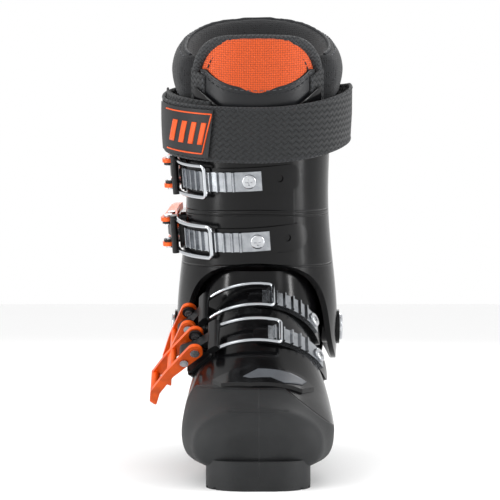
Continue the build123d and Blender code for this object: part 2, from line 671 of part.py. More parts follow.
def strap_rivet(x, h):
    """Rivet through the back of the strap and the cuff."""
    back = (-60 + CUFF_DEPTH) * LONG + STRAP_CLEAR + STRAP_THICK
    place = CUFF_PLANE.location * Pos(x, 0, h)
    shank = Pos(0, back - 2.6, 0) * Rot(90, 0, 0) * Cylinder(PIN_RADIUS, 6.0)
    head = Pos(0, back + 0.9, 0) * Rot(90, 0, 0) * Cylinder(4.5, 1.4)
    return place * (shank + head)


def make_toe_plate():
    """Trim plate that follows the top of the toe box."""
    skin = foot_form(-2.2) - foot_form()
    shape = Polyline((-31, -84), (-8, -79), (31, -80), (38, -86), (30, -97), (-5, -99), (-25, -93), close=True)
    plate = extrude(make_face(shape), amount=60)
    return one(skin & (Pos(0, 0, 45) * plate))


# ---------------------------------------------------------------- the whole boot
def build():
    shell_outer = foot_form()
    shell_cavity = foot_form(SHELL_WALL, FLOOR, 180)
    liner_floor = FLOOR + BOARD + 0.3
    liner_outer = foot_form(SHELL_WALL + GAP, FLOOR, 180, liner_floor) - above(SHELL_TOP[0] - 3, SHELL_TOP[1] - 4)
    liner_cavity = foot_form(SHELL_WALL + GAP + LINER_THICK, liner_floor + LINER_SOLE, 190)
    board = foot_form(SHELL_WALL + 0.4, FLOOR, SOLE_PAD + FLOOR + BOARD, FLOOR + 0.05)
    toe_screws, heel_screws = SOLE_SCREWS[:4], SOLE_SCREWS[4:]
    nodes = {
        "lower_shell": make_lower_shell(shell_outer, shell_cavity),
        "cuff": make_cuff(),
        "toe_sole": sole_pad(toe_lug(0, SOLE_PAD), toe_screws, [TOE_Y + d for d in (10, 19, 42, 50, 72)]),
        "heel_sole": sole_pad(heel_lug(0, SOLE_PAD), heel_screws, [HEEL_Y - d for d in (12, 34, 44)]),
        "toe_sole_screws": Compound([sole_screw(x, y) for x, y in toe_screws]),
        "heel_sole_screws": Compound([sole_screw(x, y) for x, y in heel_screws]),
        "boot_board": board,
        "toe_plate": make_toe_plate(),
        "pivot_rivet_lateral": pivot_rivet(-1),
        "pivot_rivet_medial": pivot_rivet(1),
        "liner_foot": one(liner_outer - liner_cavity),
        "liner_shaft": make_liner_shaft(),
        "tongue": make_tongue(),
        "power_strap": make_strap(),
        "strap_label": make_strap_label(),
        "strap_rivets": Compound([strap_rivet(x, h) for x, v, h in STRAP_RIVETS]),
    }
    for band in BANDS:
        wire = band.place(bail_wire(band))
        nodes[band.name + "_base"] = band.on_base(base_plate())
        nodes[band.name + "_base_rivets"] = Compound([band.on_base(r) for r in base_rivets()])
        nodes[band.name + "_pivot_rivets"] = Compound([band.on_base(r) for r in pivot_rivets()])
        nodes[band.name + "_lever"] = band.on_base(lever(3.0 if band.body == "cuff" else 13.0))
        nodes[band.name + "_bail_pin"] = band.on_base(bail_pin())
        nodes[band.name + "_carrier"] = one(band.on_base(carrier()) - band.place(bail_wire(band, 0.02)))
        nodes[band.name + "_bail_wire"] = wire
        nodes[band.name + "_ladder"] = band.place(ladder(band))
        nodes[band.name + "_ladder_screw"] = band.place(ladder_screw(band))
    return nodes


if __name__ == "__main__":
    os.makedirs("parts", exist_ok=True)
    for name, shape in build().items():
        export_step(shape, "parts/" + name + ".step")
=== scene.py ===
"""Alpine ski boot for the right foot: materials, liner, tongue and strap round the CAD frame.

Metres, and -Y is the toe. Places round the leg are in millimetres, and place() turns them to metres.
"""
import bpy
import bmesh
import json
from math import acos, cos, pi, radians, sin
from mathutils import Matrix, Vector, noise


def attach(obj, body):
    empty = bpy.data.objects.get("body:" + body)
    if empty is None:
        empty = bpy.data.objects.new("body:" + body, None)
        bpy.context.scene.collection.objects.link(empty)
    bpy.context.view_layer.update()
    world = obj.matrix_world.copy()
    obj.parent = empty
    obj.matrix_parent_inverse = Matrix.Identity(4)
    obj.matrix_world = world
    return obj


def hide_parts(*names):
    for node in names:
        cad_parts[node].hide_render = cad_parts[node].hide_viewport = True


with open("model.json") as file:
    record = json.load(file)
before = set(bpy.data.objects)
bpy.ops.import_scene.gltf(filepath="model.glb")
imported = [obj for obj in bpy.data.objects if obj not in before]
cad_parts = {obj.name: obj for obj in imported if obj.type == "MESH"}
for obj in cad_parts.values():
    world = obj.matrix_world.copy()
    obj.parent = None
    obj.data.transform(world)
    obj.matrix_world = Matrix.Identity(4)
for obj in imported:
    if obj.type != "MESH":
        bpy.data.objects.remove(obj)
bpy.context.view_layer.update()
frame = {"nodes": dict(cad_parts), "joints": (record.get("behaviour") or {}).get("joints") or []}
nodes = frame["nodes"]
MM = 0.001

# ---------------------------------------------------------------- the leaning frame of the cuff
LEAN = radians(12.0)
PIVOT = Vector(next(j for j in frame["joints"] if j["name"] == "cuff_flex")["pos_m"])
UP = Vector((0, -sin(LEAN), cos(LEAN)))
BACK = Vector((0, cos(LEAN), sin(LEAN)))
SIDE = Vector((1, 0, 0))
CUFF_FRONT = -60                     # the cuff's front, ahead of the hinge line, mm
# height, radius and shift of the front, mm
CUFF_RADII = [(-20, 60.0, -1.0), (10, 60.5, -3.0), (42, 58.0, -2.0), (79, 54.0, -0.5),
              (123, 53.0, 0.0), (156, 53.5, -1.0), (216, 55.0, -5.0)]


def place(u, v, h):
    """Point u to the inner side, v back and h up in the cuff's leaning frame, all in mm."""
    return PIVOT + SIDE * (u * MM) + BACK * (v * MM) + UP * (h * MM)


def cuff_ring(h):
    """Radius and centre of the cuff's round front at a height."""
    for (h0, r0, f0), (h1, r1, f1) in zip(CUFF_RADII, CUFF_RADII[1:]):
        if h <= h1:
            t = max(0.0, (h - h0) / (h1 - h0))
            radius, shift = r0 + (r1 - r0) * t, f0 + (f1 - f0) * t
            return radius, CUFF_FRONT + shift + radius
    top, radius, shift = CUFF_RADII[-1]
    return radius, CUFF_FRONT + shift + radius


# ---------------------------------------------------------------- materials
def linear(hex_code):
    """sRGB hex to a linear colour."""
    values = [int(hex_code[i:i + 2], 16) / 255 for i in (1, 3, 5)]
    return [v / 12.92 if v <= 0.04045 else ((v + 0.055) / 1.055) ** 2.4 for v in values] + [1.0]


def node(tree, kind, links=(), **settings):
    """Adds one shader node with its settings, and links (output, input name or number) pairs into it."""
    made = tree.nodes.new(kind)
    for key, value in settings.items():
        if key == "inputs":
            for name, v in value.items():
                made.inputs[name].default_value = v
        else:
            setattr(made, key, value)
    for source, socket in links:
        tree.links.new(source, made.inputs[socket])
    return made


def start(name, colour, roughness, **sockets):
    """A new material: itself, its tree, its shader and the object coordinates."""
    mat = bpy.data.materials.new(name)
    mat.use_nodes = True
    tree = mat.node_tree
    shader = tree.nodes["Principled BSDF"]
    shader.inputs["Base Color"].default_value = linear(colour)
    shader.inputs["Roughness"].default_value = roughness
    for key, value in sockets.items():
        shader.inputs[key.replace("_", " ")].default_value = value
    coords = node(tree, "ShaderNodeTexCoord").outputs["Object"]
    return mat, tree, shader, coords


def ramp(tree, source, stops):
    """A value turned to a colour between (value, hex colour) stops."""
    made = node(tree, "ShaderNodeValToRGB", [(source, "Fac")])
    ends = made.color_ramp.elements
    while len(ends) < len(stops):
        ends.new(0.5)
    for element, (at, colour) in zip(ends, stops):
        element.position = at
        element.color = linear(colour)
    return made.outputs["Color"]


def math(tree, operation, a, b=0.0, c=None):
    """One sum on numbers or sockets."""
    made = tree.nodes.new("ShaderNodeMath")
    made.operation = operation
    for i, value in enumerate((a, b, c)):
        if value is None:
            continue
        if isinstance(value, (int, float)):
            made.inputs[i].default_value = value
        else:
            tree.links.new(value, made.inputs[i])
    return made.outputs[0]


def mix(tree, share, under, over):
    """Two colours blended: under where share is 0, over where it is 1."""
    made = tree.nodes.new("ShaderNodeMix")
    made.data_type = "RGBA"
    colours = [socket for socket in made.inputs if socket.type == "RGBA"]
    for source, socket in ((share, made.inputs[0]), (under, colours[0]), (over, colours[1])):
        tree.links.new(source, socket)
    return next(socket for socket in made.outputs if socket.type == "RGBA")


def between(tree, value, low, high):
    """0 below low, 1 above high, and a soft step from one to the other."""
    made = node(tree, "ShaderNodeMapRange", [(value, "Value")], inputs={"From Min": low, "From Max": high})
    made.interpolation_type = "SMOOTHSTEP"
    return made.outputs["Result"]


def bump(tree, shader, height, distance, strength=1.0):
    """Relief on the shader: distance is its depth in metres."""
    made = node(tree, "ShaderNodeBump", [(height, "Height")], inputs={"Distance": distance, "Strength": strength})
    tree.links.new(made.outputs["Normal"], shader.inputs["Normal"])


def speckle(tree, coords, scale, detail=3.0, rough=0.55):
    """Cloudy noise with scale patches to the metre."""
    return node(tree, "ShaderNodeTexNoise", [(coords, "Vector")],
                inputs={"Scale": scale, "Detail": detail, "Roughness": rough}).outputs["Fac"]


def lean_axes(tree, coords):
    """Place in the cuff's leaning frame, as three values in metres: side, back and up."""
    shifted = node(tree, "ShaderNodeVectorMath", [(coords, 0)], operation="SUBTRACT")
    shifted.inputs[1].default_value = PIVOT
    found = []
    for axis in (SIDE, BACK, UP):
        dot = node(tree, "ShaderNodeVectorMath", [(shifted.outputs[0], 0)], operation="DOT_PRODUCT")
        dot.inputs[1].default_value = axis
        found.append(dot.outputs["Value"])
    return found


def off(tree, value, low, high):
    """1 below low and 0 above high."""
    return math(tree, "SUBTRACT", 1.0, between(tree, value, low, high))


TOE_LINE = 0.0625                    # height of the grained toe box's upper line, m
TOE_DROP_FROM = 0.018                # the line drops on the inner side from here, m
TOE_DROP = 0.75                      # and by this much for each unit further in
TOE_SEAM = 0.0005                    # the mould's parting seam, a hair off the middle, m
TOE_CREASE = 0.0505                  # height of the pressed crease over the toe, m


def polyurethane_shell():
    """Injection-moulded polyurethane: polished black over the instep, and a grained charcoal toe box."""
    mat, tree, shader, coords = start("polyurethane_moulded_shell", "#0c0c0d", 0.2, Specular_IOR_Level=0.2)
    axes = node(tree, "ShaderNodeSeparateXYZ", [(coords, 0)]).outputs
    # the grained part ends in a line over the toe box that drops on the inner side
    inward = math(tree, "MAXIMUM", math(tree, "SUBTRACT", axes["X"], TOE_DROP_FROM), 0.0)
    edge = math(tree, "SUBTRACT", TOE_LINE, math(tree, "MULTIPLY", inward, TOE_DROP))
    low = between(tree, math(tree, "SUBTRACT", edge, axes["Z"]), -0.0007, 0.0007)
    toe_end = math(tree, "MULTIPLY_ADD", axes["Z"], -0.35, -0.047)
    ahead = between(tree, math(tree, "SUBTRACT", toe_end, axes["Y"]), -0.001, 0.001)
    grained = math(tree, "MULTIPLY", low, ahead)
    cloud = speckle(tree, coords, 40.0)
    fine = speckle(tree, coords, 2400.0, 2.0)
    toe = ramp(tree, cloud, [(0.3, "#1d1e1f"), (0.7, "#252627")])
    polished = ramp(tree, cloud, [(0.2, "#060607"), (0.8, "#0a0a0b")])
    tree.links.new(mix(tree, grained, polished, toe), shader.inputs["Base Color"])
    gloss = math(tree, "MULTIPLY_ADD", cloud, 0.12, 0.12)
    rough = math(tree, "ADD", math(tree, "MULTIPLY", grained, math(tree, "SUBTRACT", 0.60, gloss)), gloss)
    tree.links.new(rough, shader.inputs["Roughness"])
    tree.links.new(math(tree, "MULTIPLY_ADD", grained, 0.05, 0.2), shader.inputs["Specular IOR Level"])
    # a moulding seam down the middle of the toe, a pressed crease over it, and the toe's fine grain
    seam = off(tree, math(tree, "ABSOLUTE", math(tree, "SUBTRACT", axes["X"], TOE_SEAM)), 0.0001, 0.0006)
    crease_at = math(tree, "ABSOLUTE", math(tree, "SUBTRACT", axes["Z"], TOE_CREASE))
    across = off(tree, math(tree, "ABSOLUTE", axes["X"]), 0.016, 0.021)
    crease = math(tree, "MULTIPLY", off(tree, crease_at, 0.0002, 0.0010), across)
    border = math(tree, "MULTIPLY", grained, math(tree, "SUBTRACT", 1.0, grained))
    grain = math(tree, "MULTIPLY", math(tree, "MULTIPLY", fine, grained), 0.25)
    lines = math(tree, "ADD", math(tree, "MULTIPLY", seam, grained), math(tree, "MULTIPLY", crease, 2.5))
    height = math(tree, "ADD", grain, math(tree, "MULTIPLY", lines, -1.0))
    height = math(tree, "SUBTRACT", height, math(tree, "MULTIPLY", border, 4.0))
    bump(tree, shader, height, 0.0005, 0.6)
    return mat


# height in the cuff's frame and width of each pressed groove, m
GROOVES = ((0.1005, 0.0011), (0.0975, 0.0007), (0.0605, 0.0010), (0.1420, 0.0008))
GROOVE_SAG = -2.2                    # how fast a groove drops away from the middle


def polyurethane_cuff():
    """Injection-moulded polyurethane, polished, with pressed grooves round its lower front."""
    mat, tree, shader, coords = start("polyurethane_polished_cuff", "#0a0a0b", 0.2, Specular_IOR_Level=0.2)
    side, back, up = lean_axes(tree, coords)
    cloud = speckle(tree, coords, 30.0)
    tree.links.new(ramp(tree, cloud, [(0.2, "#060607"), (0.8, "#0b0b0c")]), shader.inputs["Base Color"])
    tree.links.new(math(tree, "MULTIPLY_ADD", cloud, 0.14, 0.14), shader.inputs["Roughness"])
    front = off(tree, back, -0.030, -0.012)
    total = None
    for height, width in GROOVES:
        sag = math(tree, "MULTIPLY_ADD", math(tree, "MULTIPLY", side, side), GROOVE_SAG, height)
        line = math(tree, "ABSOLUTE", math(tree, "SUBTRACT", up, sag))
        groove = off(tree, line, width * 0.3, width)
        total = groove if total is None else math(tree, "MAXIMUM", total, groove)
    ripple = math(tree, "MULTIPLY", speckle(tree, coords, 900.0), 0.03)
    height = math(tree, "MULTIPLY_ADD", math(tree, "MULTIPLY", total, front), -1.0, ripple)
    bump(tree, shader, height, 0.0007, 0.7)
    return mat


def metal(name, colour, roughness, grain, worn=None):
    """Bare or coloured metal with fine grain, and cloudy roughness."""
    mat, tree, shader, coords = start(name, colour, roughness, Metallic=1.0)
    cloud = speckle(tree, coords, 160.0)
    tree.links.new(math(tree, "MULTIPLY_ADD", cloud, roughness * 0.6, roughness * 0.7), shader.inputs["Roughness"])
    if worn:
        tree.links.new(ramp(tree, cloud, [(0.35, colour), (0.75, worn)]), shader.inputs["Base Color"])
    bump(tree, shader, speckle(tree, coords, grain, 4.0), 0.00012, 0.35)
    return mat


def anodised(name, colour, dark):
    """Anodised cast aluminium: dyed oxide over metal, bright, and darker in cloudy patches."""
    mat, tree, shader, coords = start(name, colour, 0.34, Metallic=0.35)
    cloud = speckle(tree, coords, 120.0)
    tree.links.new(ramp(tree, cloud, [(0.25, dark), (0.6, colour)]), shader.inputs["Base Color"])
    tree.links.new(math(tree, "MULTIPLY_ADD", cloud, 0.16, 0.25), shader.inputs["Roughness"])
    bump(tree, shader, speckle(tree, coords, 1500.0, 3.0), 0.00012, 0.4)
    return mat


def moulded(name, colour, other, roughness, grain=1800.0, depth=0.00015):
    """Moulded plastic or rubber with spark-eroded grain."""
    mat, tree, shader, coords = start(name, colour, roughness, Specular_IOR_Level=0.3)
    cloud = speckle(tree, coords, 60.0)
    tree.links.new(ramp(tree, cloud, [(0.3, colour), (0.7, other)]), shader.inputs["Base Color"])
    tree.links.new(math(tree, "MULTIPLY_ADD", cloud, 0.12, roughness - 0.06), shader.inputs["Roughness"])
    bump(tree, shader, speckle(tree, coords, grain, 2.0), depth, 0.6)
    return mat


WRAP_CENTRE = 0.012                  # middle of the leg, back from the hinge line, m
WRAP_RADIUS = 0.060                  # radius at which threads round the leg are counted, m


def woven(name, light, dark, pitch, roughness=0.85, sheen=0.1, across="round", relief=0.00035,
          slanted=False):
    """Cloth: threads over and under, pitch apart in metres, drawn on a wrap round the leg and up it."""
    mat, tree, shader, coords = start(name, light, roughness, Sheen_Weight=sheen, Sheen_Roughness=0.5)
    side, back, up = lean_axes(tree, coords)
    ahead = math(tree, "SUBTRACT", 0.0, math(tree, "SUBTRACT", back, WRAP_CENTRE))
    around = math(tree, "MULTIPLY", math(tree, "ARCTAN2", side, ahead), WRAP_RADIUS)
    if across == "flat":
        around = side
    k = 2 * pi / pitch
    first, second = around, up
    if slanted:
        first, second = math(tree, "ADD", around, up), math(tree, "SUBTRACT", around, up)
    a = math(tree, "SINE", math(tree, "MULTIPLY", first, k * 0.5))
    b = math(tree, "SINE", math(tree, "MULTIPLY", second, k * 0.5))
    over = math(tree, "GREATER_THAN", math(tree, "MULTIPLY", a, b), 0.0)
    warp = math(tree, "ABSOLUTE", a)
    weft = math(tree, "ABSOLUTE", b)
    under = math(tree, "MULTIPLY", math(tree, "SUBTRACT", 1.0, over), weft)
    thread = math(tree, "ADD", math(tree, "MULTIPLY", over, warp), under)
    cloud = speckle(tree, coords, 500.0)
    tone = math(tree, "MULTIPLY", thread, math(tree, "MULTIPLY_ADD", cloud, 0.7, 0.55))
    tree.links.new(ramp(tree, tone, [(0.15, dark), (0.8, light)]), shader.inputs["Base Color"])
    bump(tree, shader, thread, relief, 0.9)
    return mat


def mesh_cloth(name, light, dark, cell, sheen=0.08):
    """Knitted spacer mesh: small holes in a soft knit."""
    mat, tree, shader, coords = start(name, light, 0.9, Sheen_Weight=sheen, Sheen_Roughness=0.6)
    cells = node(tree, "ShaderNodeTexVoronoi", [(coords, "Vector")], inputs={"Scale": 1 / cell, "Randomness": 0.25})
    hole = between(tree, cells.outputs["Distance"], 0.12, 0.5)
    cloud = speckle(tree, coords, 35.0)
    knit = math(tree, "MULTIPLY", hole, math(tree, "MULTIPLY_ADD", cloud, 0.5, 0.7))
    tree.links.new(ramp(tree, knit, [(0.1, dark), (0.75, light)]), shader.inputs["Base Color"])
    bump(tree, shader, hole, 0.0004, 0.8)
    return mat


# polished where the mould is, and matt and grained over the toe, so the two read apart
SHELL = polyurethane_shell()
# a deep gloss with soft highlights, broken by thin grooves
CUFF = polyurethane_cuff()
# a warm, half-metallic orange with darker patches
LEVER = anodised("anodised_orange_aluminium", "#ec5c0c", "#c44406")
# an even satin black with an orange-peel grain
POWDER = moulded("powder_coated_black_steel", "#0a0a0b", "#101011", 0.36, 2600.0, 0.00008)
# bright grey with a cloudy satin sheen
CAST = metal("satin_cast_aluminium", "#a2a5a9", 0.22, 900.0, "#86898d")
# near mirror, so each wire shows one sharp line of light
WIRE = metal("chromed_spring_steel", "#b9bcc0", 0.10, 400.0)
# bright and slightly milky on the rivet and screw heads
STEEL = metal("bright_zinc_steel", "#c4c6c9", 0.24, 1400.0, "#a4a6aa")
# dull dark grey with a coarse grain and no highlight
SOLE = moulded("moulded_sole_rubber", "#18191a", "#202122", 0.62, 1500.0, 0.0003)
# matt dark grey, only seen down the leg opening
BOARD = moulded("moulded_footboard_plastic", "#232425", "#2b2c2d", 0.6)
# soft black that lets the orange marks stand out
LABEL = moulded("moulded_label_rubber", "#141517", "#191a1c", 0.5, 2200.0, 0.0001)
# flat orange, a little duller than the levers
ORANGE_RUBBER = moulded("orange_label_rubber", "#e05414", "#cf4a10", 0.45, 2200.0, 0.0001)
# smooth satin black against the matt cloth of the tongue
OVERLAY = moulded("tongue_overlay_plastic", "#101113", "#16171a", 0.34, 2000.0, 0.0001)
# glossy black with clear highlights
BEZEL = moulded("gloss_trim_plastic", "#0c0c0d", "#111112", 0.12, 2000.0, 0.00003)
# smooth mid grey that shows against the black trim
INLAY = moulded("grey_trim_plastic", "#4a4c50", "#565a5f", 0.32, 2000.0, 0.0001)
# soft charcoal with fine dark holes
KNIT = mesh_cloth("charcoal_spacer_mesh", "#1f2022", "#070708", 0.0017)
# soft black with hardly any pattern
LINING = mesh_cloth("black_lining_fleece", "#1c1c1e", "#0c0c0d", 0.0012)
# coarse slanting weave, drawn coarser than the real thread so that it shows
WEBBING = woven("woven_polyester_webbing", "#1e2022", "#040405", 0.0042, relief=0.0008, slanted=True)
# bright orange squares with darker gaps, like a close basket weave
TWILL = woven("orange_twill_cloth", "#d4500f", "#8f3306", 0.0016, across="flat", relief=0.0003)
# dark cord with slanting plaits
BRAID = woven("braided_edge_binding", "#26282b", "#070708", 0.0030, across="flat", relief=0.0005,
              slanted=True)
# mid grey that shows as a dotted line on the black cloth
THREAD = moulded("waxed_sewing_thread", "#4c4e52", "#3e4044", 0.6)
# near black, a line that shows only by its relief
DARK_THREAD = moulded("black_sewing_thread", "#26282b", "#1e1f22", 0.6)


def dress(names, mat):
    for name in names:
        data = nodes[name].data
        data.materials.clear()
        data.materials.append(mat)


def named(*ends):
    return [n for n in nodes if n.endswith(ends)]


dress(["lower_shell"], SHELL)
dress(["cuff"], CUFF)
dress(named("_lever"), LEVER)
dress(named("_base", "_carrier"), POWDER)
dress(named("_ladder"), CAST)
dress(named("_bail_wire"), WIRE)
dress(named("_rivets", "_screws", "_screw", "_bail_pin", "_rivet_lateral", "_rivet_medial"), STEEL)
dress(["toe_sole", "heel_sole"], SOLE)
dress(["boot_board"], BOARD)
dress(["toe_plate"], BEZEL)


# ---------------------------------------------------------------- making pieces
def fresh_mesh(name, verts, faces, mat, smooth=True):
    mesh = bpy.data.meshes.new(name)
    mesh.from_pydata([tuple(v) for v in verts], [], faces)
    mesh.update()
    piece = bpy.data.objects.new(name, mesh)
    bpy.context.scene.collection.objects.link(piece)
    mesh.materials.append(mat)
    for poly in mesh.polygons:
        poly.use_smooth = smooth
    return piece


def alone(piece):
    bpy.ops.object.select_all(action="DESELECT")
    piece.select_set(True)
    bpy.context.view_layer.objects.active = piece


def apply(piece, kind, **settings):
    alone(piece)
    modifier = piece.modifiers.new(kind.title(), kind)
    for key, value in settings.items():
        setattr(modifier, key, value)
    bpy.ops.object.modifier_apply(modifier=modifier.name)


def outward(piece):
    alone(piece)
    bpy.ops.object.mode_set(mode="EDIT")
    bpy.ops.mesh.select_all(action="SELECT")
    bpy.ops.mesh.normals_make_consistent(inside=False)
    bpy.ops.object.mode_set(mode="OBJECT")


def smooth(piece):
    for poly in piece.data.polygons:
        poly.use_smooth = True


def seat(piece, body, slot, *replaced):
    """Puts a finished piece on its body and hides the CAD parts it replaces. The slot argument is not used."""
    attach(piece, body)
    if replaced:
        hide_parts(*replaced)
    return piece


def soft_copy(source, name, mat, voxel, rounds):
    """A padded piece grown from a plain solid: even mesh, rounded edges."""
    mesh = nodes[source].data.copy()
    piece = bpy.data.objects.new(name, mesh)
    bpy.context.scene.collection.objects.link(piece)
    work = bmesh.new()
    work.from_mesh(mesh)
    bmesh.ops.remove_doubles(work, verts=work.verts, dist=1e-5)
    work.to_mesh(mesh)
    work.free()
    apply(piece, "REMESH", mode="VOXEL", voxel_size=voxel, adaptivity=0.0)
    apply(piece, "SMOOTH", factor=0.5, iterations=rounds)
    piece.data.materials.clear()
    piece.data.materials.append(mat)
    smooth(piece)
    return piece


def tube(name, path, radius, mat, closed=False, sides=8):
    """Round cord along points, as a mesh."""
    curve = bpy.data.curves.new(name, "CURVE")
    curve.dimensions = "3D"
    spline = curve.splines.new("POLY")
    spline.points.add(len(path) - 1)
    for point, at in zip(spline.points, path):
        point.co = (*at, 1)
    spline.use_cyclic_u = closed
    curve.bevel_depth = radius
    curve.bevel_resolution = max(1, sides // 4)
    curve.use_fill_caps = True
    holder = bpy.data.objects.new(name + "_line", curve)
    bpy.context.scene.collection.objects.link(holder)
    bpy.context.view_layer.update()
    seen = holder.evaluated_get(bpy.context.evaluated_depsgraph_get())
    mesh = bpy.data.meshes.new_from_object(seen)
    bpy.data.objects.remove(holder)
    mesh.name = name
    piece = bpy.data.objects.new(name, mesh)
    bpy.context.scene.collection.objects.link(piece)
    mesh.materials.clear()
    mesh.materials.append(mat)
    smooth(piece)
    return piece


def join(pieces, name):
    alone(pieces[0])
    for p in pieces:
        p.select_set(True)
    bpy.ops.object.join()
    pieces[0].name = name
    return pieces[0]


def stitches(name, path, mat, length=0.0026, gap=0.0014, radius=0.00035):
    """A row of sewing stitches laid along a fine path."""
    parts, run, inside = [], [], True
    travelled = 0.0
    for a, b in zip(path, path[1:]):
        a, b = Vector(a), Vector(b)
        travelled += (b - a).length
        if inside:
            run.append(b)
        if travelled >= (length if inside else gap):
            if inside and len(run) > 1:
                parts.append(tube(name, run, radius, mat, sides=4))
            travelled, run, inside = 0.0, [], not inside
    return join(parts, name) if parts else None


def sample(path, step=0.0004):
    """The path again, with points step apart."""
    found = []
    for a, b in zip(path, path[1:]):
        a, b = Vector(a), Vector(b)
        count = max(1, int((b - a).length / step))
        found += [a.lerp(b, i / count) for i in range(count)]
    return found + [Vector(path[-1])]


# ---------------------------------------------------------------- liner: collar and shaft, foot piece
liner = soft_copy("liner_shaft", "liner_shaft_padded", KNIT, 0.0030, 6)
for vertex in liner.data.vertices:
    vertex.co += vertex.normal * (noise.noise(vertex.co * 28.0) * 0.0006)
liner.data.update()
seat(liner, "cuff", "liner", "liner_shaft")

foot = soft_copy("liner_foot", "liner_foot_padded", LINING, 0.0035, 4)
seat(foot, "lower_shell", "liner", "liner_foot")


# ---------------------------------------------------------------- tongue
TONGUE_OUT = 4.2                     # outer face of the tongue inside the cuff's outer form, mm


def on_tongue(u, h, lift=0.0):
    """Point on the front face of the tongue, lift mm proud of it."""
    r, centre = cuff_ring(h)
    r = r - TONGUE_OUT + lift
    u = max(-r * 0.98, min(r * 0.98, u))
    return place(u, centre - (r * r - u * u) ** 0.5, h)


tongue = soft_copy("tongue", "tongue_padded", TWILL, 0.0022, 3)
for vertex in tongue.data.vertices:
    vertex.co += vertex.normal * (noise.noise(vertex.co * 45.0) * 0.0004)
seat(tongue, "cuff", "tongue", "tongue")


def sheet_on_tongue(name, outline_low, outline_high, half, lift, thick, mat, columns=48, rows=24,
                    middle=0.0):
    """A panel laid on the tongue between two height curves of u, from -half to half."""
    verts, faces = [], []
    for j in range(rows + 1):
        for i in range(columns + 1):
            u = middle - half + 2 * half * i / columns
            low, high = outline_low(u), outline_high(u)
            verts.append(on_tongue(u, low + (high - low) * j / rows, lift))
    for j in range(rows):
        for i in range(columns):
            a = j * (columns + 1) + i
            faces.append((a, a + 1, a + columns + 2, a + columns + 1))
    piece = fresh_mesh(name, verts, faces, mat)
    apply(piece, "SOLIDIFY", thickness=thick * MM, offset=0.0)
    outward(piece)
    apply(piece, "BEVEL", width=thick * 0.3 * MM, segments=2, limit_method="ANGLE", angle_limit=radians(50))
    smooth(piece)
    return piece


def overlay_top(u):
    """Upper edge of the plastic overlay: a deep U between two high sides."""
    return 190 + 11.0 * min(1.0, (abs(u) / 37.0) ** 3.2)


overlay = sheet_on_tongue("tongue_overlay", lambda u: 150.0, overlay_top, 40.5, 0.9, 1.8, OVERLAY)
seat(overlay, "cuff", "tongue")



def overlay_seam(half, below):
    """Line along the overlay's upper edge, below it by some millimetres, from -half to half."""
    across = [-half + 2 * half * i / 80 for i in range(81)]
    return sample([on_tongue(u, overlay_top(u) - below, 2.0) for u in across])


seat(stitches("tongue_overlay_stitching", overlay_seam(40.5, 2.6), THREAD), "cuff", "tongue")
seat(stitches("tongue_overlay_inner_stitching", overlay_seam(39.0, 5.4), DARK_THREAD), "cuff", "tongue")


def cling(path, piece, lift):
    """The path's points moved to the nearest places on a piece, lift mm above its skin."""
    found = []
    for point in path:
        hit, where, normal, face = piece.closest_point_on_mesh(point)
        found.append(where + normal * (lift * MM))
    return found


def power(value, exponent):
    return abs(value) ** exponent * (1 if value >= 0 else -1)


# ---------------------------------------------------------------- collar seams
EDGE = (-34.0, 247.0, 0.367)         # y, z and slope of the cuff's upper edge, mm
HINGE_Y, HINGE_Z = 62, 98            # the cuff's hinge line, mm
TONGUE_GAP = -27.5                   # the collar's rows stop here, where the tongue begins, mm


def collar_path(rise, half, front, back, steps=220):
    """Ring parallel to the cuff's sloping edge, open where the tongue is."""
    found = []
    s, c = sin(LEAN), cos(LEAN)
    edge_y, edge_z, slope = EDGE
    level = edge_z - HINGE_Z + (HINGE_Y - edge_y) * slope + rise
    widest = 1 - half / (back - front) * 1.02
    for i in range(steps + 1):
        turn = pi / 2 + 2 * pi * i / steps
        ahead = sin(turn)
        reach = (1 - widest) if ahead >= 0 else widest
        bend = 2 / (2.05 if ahead >= 0 else 2.15)
        v = back + (front - back) * (widest + power(ahead, bend) * reach)
        u = half * power(cos(turn), bend)
        h = (level + v * (c * slope - s)) / (c + s * slope)
        if v > TONGUE_GAP:
            found.append(place(u, v, h))
    return found


piping = cling(collar_path(41, 53.0, 1.5 - 60, 86), liner, 0.4)
seat(tube("collar_crown_piping", piping, 1.2 * MM, DARK_THREAD), "cuff", "liner")
border = cling(collar_path(41, 58.0, -63, 91), liner, 0.15)
seat(stitches("collar_border_stitching", sample(border), THREAD, 0.0036, 0.0018, 0.0004), "cuff", "liner")
hem = cling(collar_path(8, 62.0, -64, 94), liner, 0.15)
seat(stitches("collar_hem_stitching", sample(hem), THREAD, 0.0036, 0.0018, 0.0004), "cuff", "liner")


# ---------------------------------------------------------------- braided binding round the tongue's top
def tongue_at(u, z, lift):
    """Point of the tongue's front face at a height over the floor."""
    h = 200.0
    for _ in range(5):
        h += (z - on_tongue(u, h, lift).z / MM) / cos(LEAN)
    return on_tongue(u, h, lift)


outline = [(-42.5, 250 + 3.5 * i) for i in range(11)]
outline += [(-24 - 18.5 * cos(radians(a)), 285 + 18.5 * sin(radians(a))) for a in range(0, 91, 9)]
outline += [(-22 + 4.4 * i, 303.5) for i in range(11)]
outline += [(24 + 18.5 * sin(radians(a)), 285 + 18.5 * cos(radians(a))) for a in range(0, 91, 9)]
outline += [(42.5, 285 - 3.5 * i) for i in range(11)]
binding = [tongue_at(u, z, -1.6) for u, z in outline]
seat(tube("tongue_edge_binding", binding, 4.4 * MM, BRAID, sides=16), "cuff", "tongue")
inner_line = [(u * 0.86, 250 + (z - 250) * 0.88) for u, z in outline[9:-9]]
panel_seam = sample([tongue_at(u, z, 0.5) for u, z in inner_line])
seat(stitches("tongue_panel_stitching", panel_seam, DARK_THREAD, 0.003, 0.0012, 0.0005), "cuff", "tongue")


